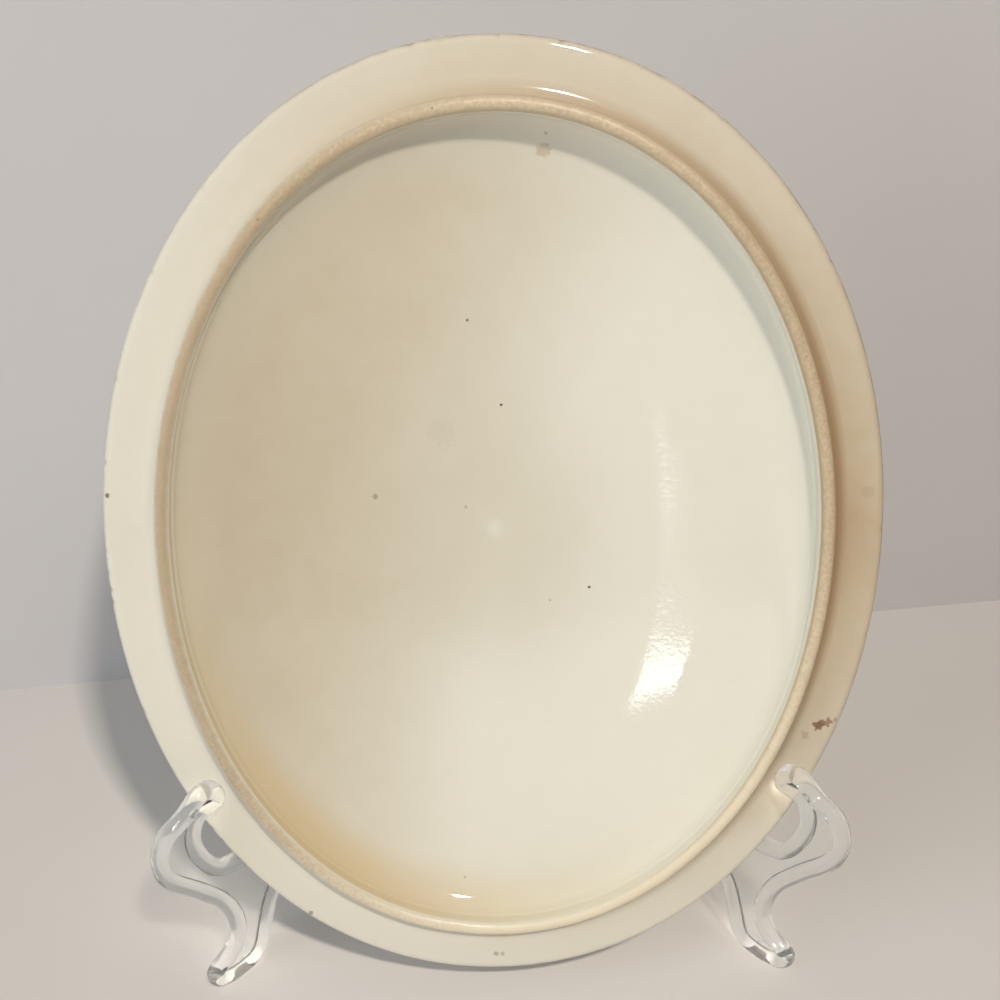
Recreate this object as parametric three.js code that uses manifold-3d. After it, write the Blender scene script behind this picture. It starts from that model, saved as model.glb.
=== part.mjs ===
// The oval cover of a covered serving dish, standing on its end in a clear folding plate stand.
// Millimetres and degrees, +Z up, -Y towards the viewer, the opening of the cover towards -Y.
import * as THREE from 'three';
import { mergeVertices } from 'three/addons/utils/BufferGeometryUtils.js';
import Module from 'manifold-3d';

const wasm = await Module();
wasm.setup();

// Cover: overall size and pose
const coverLength = 280;
const coverWidth = 222.6;
const ovalExponent = 2.045;
const coverLean = 15;
const coverGroundGap = 10;

// Cover: flange, wall and dome
const flangeThickness = 4.4;
const collarCrestInset = 17.1;
const collarCrestWidth = 4.2;
const collarRootWidth = 4.2;
const collarHeight = 4.6;
const wallThickness = 4.6;
const domeDepth = 19;
const domeFullness = 2;

// Cover: handle on the outside
const handleSpan = 62;
const handleRise = 25;
const handleWidth = 13;
const handleThickness = 7;
const terminalLength = 30;
const terminalWidth = 22;
const terminalHeight = 3;

// Stand: plan and pose
const toeSpacing = 180;
const toeSetback = 4.2;
const leafSplay = 44;

// Stand: one leaf
const leafThickness = 5.6;
const leafEdgeRound = 2.3;
const beadWidth = 5.6;
const webThickness = 2;
const footFlatDepth = 0.6;
const cradleDrop = 2.6;
const hookRise = 31.4;
const hookReach = 1.2;
const hookGap = 2.9;
const backrestRise = 38.6;
const backrestAbove = 20;
const backrestBelow = 18;
const backrestClearance = 0.9;
const archShare = 0.67;
const rearFootLength = 28.5;
const heelLength = 21.4;

// Stand: hinge
const pinRadius = 2;
const pinClearance = 0.2;
const knuckleWall = 2.6;
const knuckleGap = 0.5;
const hingeBase = 12;
const hingeLength = 66;
const middleKnuckleShare = 0.4;
const postAboveKnuckles = 7;
const pinHeadRadius = 3.8;
const pinHeadHeight = 2.4;
const pinCapHeight = 3;

// Clearance between pieces that rest on each other or are luted together
const seatGap = 0.3;

// Facets
const ovalSegments = 60;
const splineSteps = 3;

const halfLength = coverLength / 2;
const halfWidth = coverWidth / 2;
const halfFlange = flangeThickness / 2;
const collarInnerInset = collarCrestInset + collarCrestWidth / 2;
const collarOuterInset = collarCrestInset - collarCrestWidth / 2;
const collarRootInset = collarOuterInset - collarRootWidth;
const lean = THREE.MathUtils.degToRad(coverLean);
const splay = THREE.MathUtils.degToRad(leafSplay);

// Glazed creamware, bare clay and clear plastic
const glaze = new THREE.MeshStandardMaterial({ color: 0xe6e0c8, roughness: 0.18, metalness: 0 });
const bareClay = new THREE.MeshStandardMaterial({ color: 0xcbb190, roughness: 0.8, metalness: 0 });
const clearPlastic = new THREE.MeshStandardMaterial({
  color: 0xd9dee0, roughness: 0.08, metalness: 0, transparent: true, opacity: 0.35,
});

// Closed meshes as solids and back
function solidOf(geometry) {
  const bare = geometry.clone();
  bare.deleteAttribute('normal');
  bare.deleteAttribute('uv');
  const merged = mergeVertices(bare, 1e-4);
  return new wasm.Manifold(new wasm.Mesh({
    numProp: 3,
    vertProperties: new Float32Array(merged.attributes.position.array),
    triVerts: new Uint32Array(merged.index.array),
  }));
}

function geometryOf(solid) {
  const mesh = solid.getMesh();
  const geometry = new THREE.BufferGeometry();
  geometry.setAttribute('position', new THREE.BufferAttribute(new Float32Array(mesh.vertProperties), 3));
  geometry.setIndex(new THREE.BufferAttribute(new Uint32Array(mesh.triVerts), 1));
  geometry.computeVertexNormals();
  return geometry;
}

function pieceOf(name, geometry, material) {
  const mesh = new THREE.Mesh(geometry, material);
  mesh.name = name;
  return mesh;
}

// An oval is a superellipse: near an ellipse, slightly fuller at the shoulders
function ovalPoint(width, length, turn) {
  const c = Math.cos(turn);
  const s = Math.sin(turn);
  const power = 2 / ovalExponent;
  return [
    width * Math.sign(c) * Math.abs(c) ** power,
    length * Math.sign(s) * Math.abs(s) ** power,
  ];
}

// A ring at an inset from the cover's outline
function ringAtInset(inset, height) {
  return { width: halfWidth - inset, length: halfLength - inset, height };
}

// Surface through a list of oval rings. A ring of no width closes to a point; a looped list closes on itself.
function ovalLoft(rings, looped = false) {
  const positions = [];
  const triangles = [];
  const starts = rings.map((ring) => {
    const start = positions.length / 3;
    const count = ring.width === 0 ? 1 : ovalSegments;
    for (let i = 0; i < count; i += 1) {
      const [x, y] = ovalPoint(ring.width, ring.length, (2 * Math.PI * i) / ovalSegments);
      positions.push(x, y, ring.height);
    }
    return { start, count };
  });
  const last = looped ? rings.length : rings.length - 1;
  for (let k = 0; k < last; k += 1) {
    const lower = starts[k];
    const upper = starts[(k + 1) % rings.length];
    for (let i = 0; i < ovalSegments; i += 1) {
      const j = (i + 1) % ovalSegments;
      const a = lower.start + (lower.count === 1 ? 0 : i);
      const b = lower.start + (lower.count === 1 ? 0 : j);
      const c = upper.start + (upper.count === 1 ? 0 : j);
      const d = upper.start + (upper.count === 1 ? 0 : i);
      if (lower.count > 1) triangles.push(a, c, b);
      if (upper.count > 1) triangles.push(a, d, c);
    }
  }
  const geometry = new THREE.BufferGeometry();
  geometry.setAttribute('position', new THREE.Float32BufferAttribute(positions, 3));
  geometry.setIndex(triangles);
  return geometry;
}

// The dome's height falls with the root of one minus the share of the foot oval to a power
const domeShares = [0, 0.2, 0.4, 0.57, 0.71, 0.82, 0.9, 0.955, 0.988, 1];

function domeDrop(share) {
  return Math.sqrt(Math.max(0, 1 - share ** domeFullness));
}

function domeRings(inset, foot, drop) {
  return domeShares.map((share) => ({
    width: share * (halfWidth - inset),
    length: share * (halfLength - inset),
    height: foot - drop * domeDrop(share),
  }));
}

const outerDomeInset = collarInnerInset - wallThickness;
const domeFootDepth = halfFlange + 0.65 * wallThickness;
const outerDomeDrop = domeDepth + wallThickness - domeFootDepth;

function flangeEdgeRings() {
  const turns = [90, 45, 0, -45, -90].map(THREE.MathUtils.degToRad);
  return turns.map((turn) => ringAtInset(
    halfFlange - halfFlange * Math.cos(turn),
    halfFlange * Math.sin(turn),
  ));
}

// The shell: the inside, the shallow seat that the collar is luted in, the flange, and the outside
function coverShell() {
  const lip = 0.2 * wallThickness;
  const inside = domeRings(collarInnerInset + 0.6 * lip, halfFlange - lip, domeDepth + halfFlange - lip);
  const luting = [
    ringAtInset(collarInnerInset, halfFlange - seatGap),
    ringAtInset(collarRootInset - seatGap, halfFlange - seatGap),
    ringAtInset(collarRootInset - seatGap, halfFlange),
  ];
  const back = [
    ringAtInset(outerDomeInset - 1.1 * wallThickness, -halfFlange),
    ringAtInset(outerDomeInset - 0.43 * wallThickness, -halfFlange - 0.2 * wallThickness),
  ];
  const outside = domeRings(outerDomeInset, -domeFootDepth, outerDomeDrop).reverse();
  return ovalLoft([...inside, ...luting, ...flangeEdgeRings(), ...back, ...outside]);
}

// The cover's outside as one filled solid, grown by an amount: what is luted on is cut by it
function filledDome(grow) {
  const outside = domeRings(outerDomeInset - grow, -domeFootDepth, outerDomeDrop + grow).reverse();
  const top = [{ width: 0, length: 0, height: 0 }, ringAtInset(outerDomeInset - grow, 0)];
  return solidOf(ovalLoft([...top, ...outside]));
}

// The locating collar: a low ring that drops inside the dish, with a bare rounded crest
function locatingCollar() {
  const base = halfFlange;
  const crest = halfFlange + collarHeight;
  const round = collarCrestWidth / 2;
  const crown = [0, 36, 72, 108, 144, 180].map(THREE.MathUtils.degToRad).map((turn) => ringAtInset(
    collarCrestInset + round * Math.cos(turn),
    crest - round + round * Math.sin(turn),
  ));
  const root = [
    ringAtInset(collarOuterInset - 0.3 * collarRootWidth, base + 0.2 * collarHeight),
    ringAtInset(collarRootInset, base + 0.03 * collarHeight),
    ringAtInset(collarRootInset, base),
  ];
  return ovalLoft([ringAtInset(collarInnerInset, base), ...crown, ...root], true);
}

// Depth of the cover's outside below its middle plane, grown by an amount
function outsideDepth(x, y, grow) {
  const share = (Math.abs(x / (halfWidth - outerDomeInset + grow)) ** ovalExponent
    + Math.abs(y / (halfLength - outerDomeInset + grow)) ** ovalExponent) ** (1 / ovalExponent);
  if (share >= 1) return null;
  return domeFootDepth + (outerDomeDrop + grow) * domeDrop(share);
}

const handleFootDepth = outsideDepth(0, handleSpan / 2, 0);

// A pad that blends the strap's end into the dome, tilted with the dome's slope there
function terminalSolid(side, grow) {
  const pad = new THREE.SphereGeometry(1, 20, 10);
  pad.scale(terminalWidth / 2 + grow, terminalLength / 2 + grow, terminalHeight * 2 + grow);
  const step = terminalLength / 10;
  const fall = outsideDepth(0, handleSpan / 2 - step, 0) - outsideDepth(0, handleSpan / 2 + step, 0);
  pad.rotateX(side * Math.atan2(fall, 2 * step));
  pad.translate(0, (side * handleSpan) / 2, terminalHeight - handleFootDepth);
  return solidOf(pad);
}

// The handle: a strap pulled into an arch along the cover's long axis. Its path is drawn in shares of
// the half span and of the rise from the dome's foot point to the top, and starts inside the dome.
function handleLoop() {
  const rise = domeDepth + wallThickness + handleRise - handleFootDepth;
  const half = handleSpan / 2;
  const bend = (along, up) => new THREE.Vector3(0, along * half, -handleFootDepth - up * rise);
  const path = new THREE.CatmullRomCurve3([
    bend(1.03, -0.15), bend(1, 0.15), bend(0.84, 0.55), bend(0.42, 0.945), bend(0, 1),
    bend(-0.42, 0.945), bend(-0.84, 0.55), bend(-1, 0.15), bend(-1.03, -0.15),
  ]);
  const section = new THREE.Shape();
  section.absellipse(0, 0, handleWidth / 2, handleThickness / 2, 0, 2 * Math.PI);
  const strap = new THREE.ExtrudeGeometry(section, { steps: 24, curveSegments: 7, extrudePath: path });
  const cutter = filledDome(seatGap)
    .add(terminalSolid(1, seatGap))
    .add(terminalSolid(-1, seatGap));
  return geometryOf(solidOf(strap).subtract(cutter));
}

function handleTerminal(side) {
  return geometryOf(terminalSolid(side, 0).subtract(filledDome(seatGap)));
}

// The stand's plan: each leaf runs from the hinge axis at the back out to its toe
const leafReach = toeSpacing / 2 / Math.sin(splay);
const hingeSetback = toeSetback + toeSpacing / 2 / Math.tan(splay);

// A point of a leaf's plane, by its distance from the toe and its height, in the cover's own frame
function leafPointInCover(fromToe, height) {
  const reach = leafReach + fromToe;
  const x = reach * Math.sin(splay);
  const y = hingeSetback - reach * Math.cos(splay) - halfLength * Math.sin(lean);
  const z = height - coverGroundGap - halfLength * Math.cos(lean);
  return { x, along: y * Math.sin(lean) + z * Math.cos(lean), out: -y * Math.cos(lean) + z * Math.sin(lean) };
}

// Where the flange's outline passes through the leaf's plane, found by halving
function flangeOnLeaf() {
  const planeHeight = (fromToe) => {
    const setback = hingeSetback - (leafReach + fromToe) * Math.cos(splay);
    return coverGroundGap + setback / Math.tan(lean);
  };
  const outside = (fromToe) => {
    const point = leafPointInCover(fromToe, planeHeight(fromToe));
    return Math.abs(point.x / halfWidth) ** ovalExponent
      + Math.abs(point.along / halfLength) ** ovalExponent - 1;
  };
  let near = 0;
  let far = -0.5 * leafReach;
  for (let step = 0; step < 40; step += 1) {
    const middle = (near + far) / 2;
    if (outside(middle) > 0) near = middle;
    else far = middle;
  }
  return { fromToe: near, height: planeHeight(near) };
}

// Where the dome's back, grown by a clearance, passes through the leaf's plane at a height
function domeOnLeaf(height, grow) {
  const clearOf = (fromToe) => {
    const point = leafPointInCover(fromToe, height);
    const depth = outsideDepth(point.x, point.along, grow);
    return depth === null || -point.out > depth;
  };
  let fromToe = -leafReach;
  while (clearOf(fromToe) && fromToe < 0) fromToe += 0.05;
  return fromToe;
}

const rim = flangeOnLeaf();

// The leaf's back rest is a straight edge that just clears the dome
const backrestHeight = rim.height + backrestRise;

function backrestEdge() {
  const grow = leafThickness / 2 + backrestClearance;
  const low = domeOnLeaf(backrestHeight - 2, grow);
  const middle = domeOnLeaf(backrestHeight, grow);
  const high = domeOnLeaf(backrestHeight + 2, grow);
  const slope = (high - low) / 4;
  const shift = (leafThickness / 2) * Math.hypot(1, slope);
  return (height) => middle + shift + slope * (height - backrestHeight);
}

const backrestAt = backrestEdge();

// The hinge's knuckles stand one above the other on the pin
const hingeTop = hingeBase + hingeLength;
const middleKnuckleLow = hingeBase + (hingeLength * (1 - middleKnuckleShare)) / 2;
const middleKnuckleHigh = middleKnuckleLow + hingeLength * middleKnuckleShare;
const knuckleRadius = pinRadius + pinClearance + knuckleWall;

// The leaf's outline, from the toe up the front, over the hook, through the cradle and saddle,
// up the back rest, down the hinge post and back along the rear foot, the arch and the heel.
// Each stretch is drawn in shares of its own named size, so it follows what it holds.
function leafOutline() {
  const hookTop = rim.height + hookRise;
  const seat = rim.height - cradleDrop;
  const arch = archShare * seat;
  const restTop = backrestHeight + backrestAbove;
  const restLow = backrestHeight - backrestBelow;
  const post = knuckleRadius + seatGap - leafReach;
  const postTop = hingeTop + postAboveKnuckles;
  const between = (from, to, share) => from + (to - from) * share;

  const front = (offset, height) => [offset * hookTop + height * rim.fromToe, height * hookTop];
  const hook = (reach, drop) => [rim.fromToe + hookReach + reach * hookRise, hookTop - drop * hookRise];
  const saddle = (share, rise) => [
    between(rim.fromToe, backrestAt(restLow), share), between(seat, restLow, rise)];
  const horn = (share, rise) => [
    between(backrestAt(restTop), post, share), between(postTop, restTop, rise)];
  const rearFoot = (share, height) => [post + share * rearFootLength, height * rearFootLength];
  const archAt = (share, height) => [
    between(post + rearFootLength, -heelLength, share), height * arch];
  const heel = (share, height) => [-share * heelLength, height * heelLength];
  const spline = (points) => points.map(([s, z]) => new THREE.Vector2(s, z));

  const outline = new THREE.Shape();
  outline.moveTo(...heel(-0.14, 0.075));
  outline.splineThru(spline([
    front(0.073, 0.078), front(0.058, 0.125), front(0.011, 0.146), front(-0.026, 0.177),
    front(-0.043, 0.229), front(-0.023, 0.312), front(0.02, 0.4), front(0.071, 0.463),
    front(0.131, 0.534), front(0.19, 0.596), front(0.237, 0.649), front(0.273, 0.713),
    front(0.29, 0.79), front(0.278, 0.866), front(0.243, 0.913), front(0.198, 0.93),
    front(0.169, 0.941), front(0.144, 0.967), front(0.111, 0.993), front(0.072, 1),
    front(0.023, 0.986), hook(-0.035, 0.153), hook(-0.073, 0.268), hook(-0.016, 0.37),
    hook(hookGap / hookRise, 0.376), hook(0.197, 0.363), hook(0.264, 0.471), hook(0.274, 0.631),
    hook(0.21, 0.841), hook(0.096, 1.04), hook(-0.054, 1.096), saddle(0.2, -0.026), saddle(0.38, 0.004),
    saddle(0.57, 0.05), saddle(0.76, 0.16), saddle(0.91, 0.5),
  ]));
  outline.lineTo(backrestAt(restLow), restLow);
  outline.lineTo(backrestAt(restTop), restTop);
  outline.splineThru(spline([
    horn(0.03, 1.13), horn(0.105, 1.21), horn(0.19, 1.11), horn(0.25, 0.8), horn(0.35, 0.36),
    horn(0.6, 0.1), horn(0.84, 0), horn(1, -0.19),
  ]));
  outline.lineTo(post, 0.22 * rearFootLength);
  outline.splineThru(spline([
    rearFoot(0.07, 0.028), [post + 0.28 * rearFootLength, -footFlatDepth],
    [post + 0.56 * rearFootLength, -footFlatDepth], rearFoot(0.81, 0.028), rearFoot(1, 0.23),
    archAt(0.09, 0.5), archAt(0.24, 0.84), archAt(0.45, 1), archAt(0.7, 0.98), archAt(0.86, 0.87),
    archAt(0.95, 0.69), heel(1, 0.654), heel(0.86, 0.215), heel(0.673, 0.019),
    [-0.444 * heelLength, -footFlatDepth], [-0.14 * heelLength, -footFlatDepth], heel(-0.14, 0.075),
  ]));
  return outline.getPoints(splineSteps);
}

// A closed outline's points, none nearer to the one before than the shortest
function spacedOut(points, shortest) {
  const kept = [points[0]];
  points.forEach((point) => {
    const clear = point.distanceTo(kept[kept.length - 1]) > shortest && point.distanceTo(kept[0]) > shortest;
    if (clear) kept.push(point);
  });
  return kept;
}

// A flat shape of the leaf's plane made into a plate: along the leaf, through it, and up
function plateOf(points, thickness, round) {
  const plate = new THREE.ExtrudeGeometry(new THREE.Shape(points), {
    depth: thickness - 2 * round,
    bevelEnabled: round > 0,
    bevelThickness: round,
    bevelSize: round,
    bevelOffset: -round,
    bevelSegments: 2,
  });
  plate.translate(0, 0, round - thickness / 2);
  plate.rotateX(Math.PI / 2);
  plate.translate(leafReach, 0, 0);
  return plate;
}

// The band that lies within a width of a closed outline: a bar along each edge and a disc at each corner
function bandSolid(points, width) {
  const pieces = points.flatMap((point, i) => {
    const edge = points[(i + 1) % points.length].clone().sub(point);
    const bar = new THREE.BoxGeometry(edge.length(), 2 * width, 2 * leafThickness);
    bar.translate(edge.length() / 2, 0, 0);
    bar.rotateZ(edge.angle());
    const disc = new THREE.CylinderGeometry(width, width, 2 * leafThickness, 12);
    disc.rotateX(Math.PI / 2);
    return [bar, disc].map((piece) => {
      piece.translate(point.x, point.y, 0);
      piece.rotateX(Math.PI / 2);
      piece.translate(leafReach, 0, 0);
      return solidOf(piece);
    });
  });
  return wasm.Manifold.union(pieces);
}

function boxSolid(xLow, xHigh, yLow, yHigh, zLow, zHigh) {
  const box = new THREE.BoxGeometry(xHigh - xLow, yHigh - yLow, zHigh - zLow);
  box.translate((xLow + xHigh) / 2, (yLow + yHigh) / 2, (zLow + zHigh) / 2);
  return solidOf(box);
}

function uprightCylinder(radius, low, high, sides = 28) {
  const cylinder = new THREE.CylinderGeometry(radius, radius, high - low, sides);
  cylinder.rotateX(Math.PI / 2);
  cylinder.translate(0, 0, (low + high) / 2);
  return cylinder;
}

// One leaf, in its own frame: the hinge axis at the origin, +X along the leaf towards its toe.
// A pocket on either side leaves a thin web inside a rounded bead.
function standLeaf(knuckles) {
  const outline = spacedOut(leafOutline(), 0.25 * beadWidth);
  const pocketDepth = (leafThickness - webThickness) / 2;
  const pocket = solidOf(plateOf(outline, pocketDepth, 0)).subtract(bandSolid(outline, beadWidth));
  const pocketShift = (leafThickness - pocketDepth) / 2;
  let leaf = solidOf(plateOf(outline, leafThickness, leafEdgeRound))
    .subtract(pocket.translate([0, pocketShift, 0]))
    .subtract(pocket.translate([0, -pocketShift, 0]));
  knuckles.forEach(([low, high]) => {
    const bridge = boxSolid(0, knuckleRadius + 4, -webThickness, webThickness, low, high);
    leaf = leaf.add(bridge).add(solidOf(uprightCylinder(knuckleRadius, low, high)));
  });
  const bore = solidOf(uprightCylinder(pinRadius + pinClearance, 0, 2 * hingeTop));
  const floor = boxSolid(-20, leafReach + 40, -20, 20, -10, 0);
  return geometryOf(leaf.subtract(bore).subtract(floor));
}

const leftKnuckles = [
  [hingeBase, middleKnuckleLow - knuckleGap],
  [middleKnuckleHigh + knuckleGap, hingeTop],
];
const rightKnuckles = [[middleKnuckleLow, middleKnuckleHigh]];

// The hinge pin: a rod with a head above the top knuckle, held by a cap below the lowest one
function hingePin() {
  const rodLow = hingeBase - seatGap - pinCapHeight;
  const headLow = hingeTop + seatGap;
  const head = solidOf(uprightCylinder(pinHeadRadius, headLow, headLow + pinHeadHeight));
  return geometryOf(solidOf(uprightCylinder(pinRadius, rodLow, headLow + 1, 24)).add(head));
}

function hingePinCap() {
  const high = hingeBase - seatGap;
  const cap = solidOf(uprightCylinder(pinHeadRadius, high - pinCapHeight - 1, high));
  const rodLow = high - pinCapHeight;
  const socket = solidOf(uprightCylinder(pinRadius + pinClearance, rodLow - seatGap, high + 1, 24));
  return geometryOf(cap.subtract(socket));
}

// The cover's group, turned from flat to standing and leaning back
const cover = new THREE.Group();
cover.rotation.x = Math.PI / 2 - lean;
cover.position.set(0, halfLength * Math.sin(lean), coverGroundGap + halfLength * Math.cos(lean));
cover.add(pieceOf('cover_shell', coverShell(), glaze));
cover.add(pieceOf('locating_collar', locatingCollar(), bareClay));
cover.add(pieceOf('cover_handle', handleLoop(), glaze));
cover.add(pieceOf('handle_terminal_upper', handleTerminal(1), glaze));
cover.add(pieceOf('handle_terminal_lower', handleTerminal(-1), glaze));

// The stand's leaves and hinge, about the hinge axis
const stand = new THREE.Group();
stand.position.set(0, hingeSetback, 0);
const leftLeaf = pieceOf('stand_leaf_left', standLeaf(leftKnuckles), clearPlastic);
leftLeaf.rotation.z = -Math.PI / 2 - splay;
const rightLeaf = pieceOf('stand_leaf_right', standLeaf(rightKnuckles), clearPlastic);
rightLeaf.rotation.z = -Math.PI / 2 + splay;
stand.add(leftLeaf, rightLeaf);
stand.add(pieceOf('hinge_pin', hingePin(), clearPlastic));
stand.add(pieceOf('hinge_pin_cap', hingePinCap(), clearPlastic));

// The origin is on the table, under the middle of the whole object's box
const whole = new THREE.Group();
whole.add(cover, stand);
whole.updateMatrixWorld(true);
const extent = new THREE.Box3().setFromObject(whole, true);
whole.position.set(
  -(extent.min.x + extent.max.x) / 2,
  -(extent.min.y + extent.max.y) / 2,
  -extent.min.z,
);

const part = new THREE.Group();
part.add(whole);
part.updateMatrixWorld(true);

export default part;
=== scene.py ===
import math
import bpy
import numpy as np
from mathutils import Matrix, Vector


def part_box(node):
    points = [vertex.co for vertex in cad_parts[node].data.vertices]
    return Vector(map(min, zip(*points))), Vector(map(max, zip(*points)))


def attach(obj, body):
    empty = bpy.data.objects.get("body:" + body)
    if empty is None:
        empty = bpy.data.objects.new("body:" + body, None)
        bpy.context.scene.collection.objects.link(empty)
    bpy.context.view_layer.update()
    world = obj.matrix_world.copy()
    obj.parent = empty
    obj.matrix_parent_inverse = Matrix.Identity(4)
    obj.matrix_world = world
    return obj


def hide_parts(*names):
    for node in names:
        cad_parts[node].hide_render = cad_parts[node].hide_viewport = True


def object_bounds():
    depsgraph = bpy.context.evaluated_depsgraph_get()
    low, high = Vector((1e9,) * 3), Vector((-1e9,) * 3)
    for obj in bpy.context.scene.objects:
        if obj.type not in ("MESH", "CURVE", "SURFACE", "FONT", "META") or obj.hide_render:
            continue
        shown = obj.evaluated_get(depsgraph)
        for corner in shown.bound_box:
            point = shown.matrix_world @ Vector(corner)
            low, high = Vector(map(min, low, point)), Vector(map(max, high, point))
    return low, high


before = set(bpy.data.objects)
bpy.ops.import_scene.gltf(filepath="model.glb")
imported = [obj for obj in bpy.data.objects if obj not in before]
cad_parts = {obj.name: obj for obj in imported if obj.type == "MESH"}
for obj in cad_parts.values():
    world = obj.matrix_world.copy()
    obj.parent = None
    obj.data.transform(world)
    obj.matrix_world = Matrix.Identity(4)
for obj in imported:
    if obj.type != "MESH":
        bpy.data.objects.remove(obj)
cadLow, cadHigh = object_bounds()
print("frame loaded:", len(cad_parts), "nodes")

# sizes are in millimetres, as in the CAD source, until coverToRow or leafToRow turns them to metres
perMetre = 1000
cover = dict(
    length=280.0, width=222.6, fullness=2.045, lean=15.0,   # outline and pose
    flange=4.4, crestInset=17.1, crestWidth=4.2, rootWidth=4.2, collarHeight=4.6, skirt=0.5,
    wall=4.6, lipShare=0.2, footShare=0.65, domeDepth=19.0, domeFullness=2.0,
    around=720, domeRows=46,                                # points round the outline, rows of a dome
    faceInsets=(18.4, 15.0, 12.0, 10.0, 8.5, 7.0, 5.5, 4.2, 3.2), undersideInsets=(3.4, 5.2, 7.2, 9.0),
    nicks=70, nickSeed=7, nickDepth=0.3,                    # wear of the edge, widths in radians
    nickWidths=(0.003, 0.008), nickShares=(0.15, 1.0),
    warp=0.03, drawIn=2.3,                                  # handwork, with waves round the outline:
    inwardWaves=((2, 0.8, 0.6), (5, 0, 0.4)),               # number, phase and height of each
    liftWaves=((2, 2.2, 1), (3, 0.4, 0.5)), crestWaves=((9, 1, 0.14), (23, 0, 0.1), (61, 2, 0.06)),
)
stand = dict(toeSpacing=180.0, toeSetback=4.2, splay=44.0, bead=5.6, web=2.0)

pinLow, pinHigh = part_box("hinge_pin")
hingeY = perMetre / 2 * (pinLow.y + pinHigh.y)
shellLow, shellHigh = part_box("cover_shell")
lean = math.radians(cover["lean"])
splay = math.radians(stand["splay"])
setback = stand["toeSetback"] + stand["toeSpacing"] / 2 / math.tan(splay)
coverY = hingeY - setback + cover["length"] / 2 * math.sin(lean)
coverZ = perMetre / 2 * (shellLow.z + shellHigh.z)
halfWidth = cover["width"] / 2
halfLength = cover["length"] / 2
halfFlange = cover["flange"] / 2


# Cover's own frame (across, along, out of the flange) to the row frame, in metres: turned up by 90
# degrees less the lean, then moved to the cover's middle.
def coverToRow(points):
    x, along, out = points[..., 0], points[..., 1], points[..., 2]
    y = along * math.sin(lean) - out * math.cos(lean) + coverY
    z = along * math.cos(lean) + out * math.sin(lean) + coverZ
    return np.stack([x, y, z], axis=-1) / perMetre


# Quads of a grid that closes on itself along its columns, and along its rows too where asked.
def gridFaces(rows, columns, loopRows=False, flip=False):
    index = np.arange(rows * columns).reshape(rows, columns)
    lower = index if loopRows else index[:-1]
    upper = np.roll(index, -1, axis=0) if loopRows else index[1:]
    nextLower, nextUpper = np.roll(lower, -1, axis=1), np.roll(upper, -1, axis=1)
    quads = np.stack([lower, nextLower, nextUpper, upper], axis=-1)
    return (quads[..., ::-1] if flip else quads).reshape(-1, 4).tolist()


# Triangles from a ring of vertex numbers to one pole.
def fanFaces(pole, ring, flip=False):
    after = np.roll(ring, -1)
    first, second = (after, ring) if flip else (ring, after)
    return np.stack([first, second, np.full(len(ring), pole)], axis=-1).tolist()


# Points and faces of a grid that two poles close, one before its first row and one past its last.
def closedGrid(grid, poles, flip=False):
    rows, columns = grid.shape[:2]
    count = rows * columns
    faces = gridFaces(rows, columns, flip=flip)
    faces += fanFaces(count, np.arange(columns), flip=not flip)
    faces += fanFaces(count + 1, np.arange(count - columns, count), flip=flip)
    return np.concatenate([grid.reshape(-1, 3), poles]), faces


def newObject(name, points, faces, sharp=40):
    mesh = bpy.data.meshes.new(name)
    mesh.from_pydata(np.asarray(points, float).reshape(-1, 3).tolist(), [], faces)
    mesh.validate()
    mesh.shade_smooth()
    mesh.set_sharp_from_angle(angle=math.radians(sharp))
    piece = bpy.data.objects.new(name, mesh)
    bpy.context.scene.collection.objects.link(piece)
    return piece


def addAttribute(piece, name, values):
    layer = piece.data.attributes.new(name, "FLOAT", "POINT")
    layer.data.foreach_set("value", np.asarray(values, np.float32).ravel())


# Gives a piece its material and body, and hides the CAD nodes it stands for.
def dress(piece, body, slot, material, *nodes):
    piece.data.materials.clear()
    piece.data.materials.append(material)
    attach(piece, body)
    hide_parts(*nodes)
    print(piece.name, "has", len(piece.data.polygons), "faces")


# Each value goes to the input of its name or number: a socket as a link, anything else as it is.
def fillInputs(tree, made, inputs):
    for key, value in inputs.items():
        if isinstance(value, bpy.types.NodeSocket):
            tree.links.new(value, made.inputs[key])
        else:
            made.inputs[key].default_value = value


def addNode(tree, kind, inputs=None, **settings):
    made = tree.nodes.new(kind)
    for key, value in settings.items():
        setattr(made, key, value)
    fillInputs(tree, made, inputs or {})
    return made


def mathNode(tree, operation, *values):
    return addNode(tree, "ShaderNodeMath", dict(enumerate(values)), operation=operation).outputs[0]


def noiseNode(tree, point, scale, detail, roughness=0.5, distortion=0.0):
    return addNode(tree, "ShaderNodeTexNoise", {"Vector": point, "Scale": scale, "Detail": detail,
                   "Roughness": roughness, "Distortion": distortion}).outputs[0]


def bumpNode(tree, height, distance, **more):
    return addNode(tree, "ShaderNodeBump", {"Height": height, "Distance": distance, **more}).outputs[0]


# A value that the mesh carries at each of its points.
def meshValue(tree, name):
    return addNode(tree, "ShaderNodeAttribute", attribute_name=name).outputs["Fac"]


def rampNode(tree, value, low, high, lowOut=0.0, highOut=1.0):
    made = addNode(tree, "ShaderNodeMapRange", {"Value": value, "From Min": low, "From Max": high,
                   "To Min": lowOut, "To Max": highOut}, interpolation_type="SMOOTHSTEP")
    return made.outputs["Result"]


# The colours of a mix node are its inputs 6 and 7 and its output 2.
def mixColour(tree, factor, first, second):
    made = addNode(tree, "ShaderNodeMix", {0: factor}, data_type="RGBA")
    for key, value in ((6, first), (7, second)):
        fillInputs(tree, made, {key: value if isinstance(value, bpy.types.NodeSocket) else (*value, 1.0)})
    return made.outputs[2]


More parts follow.
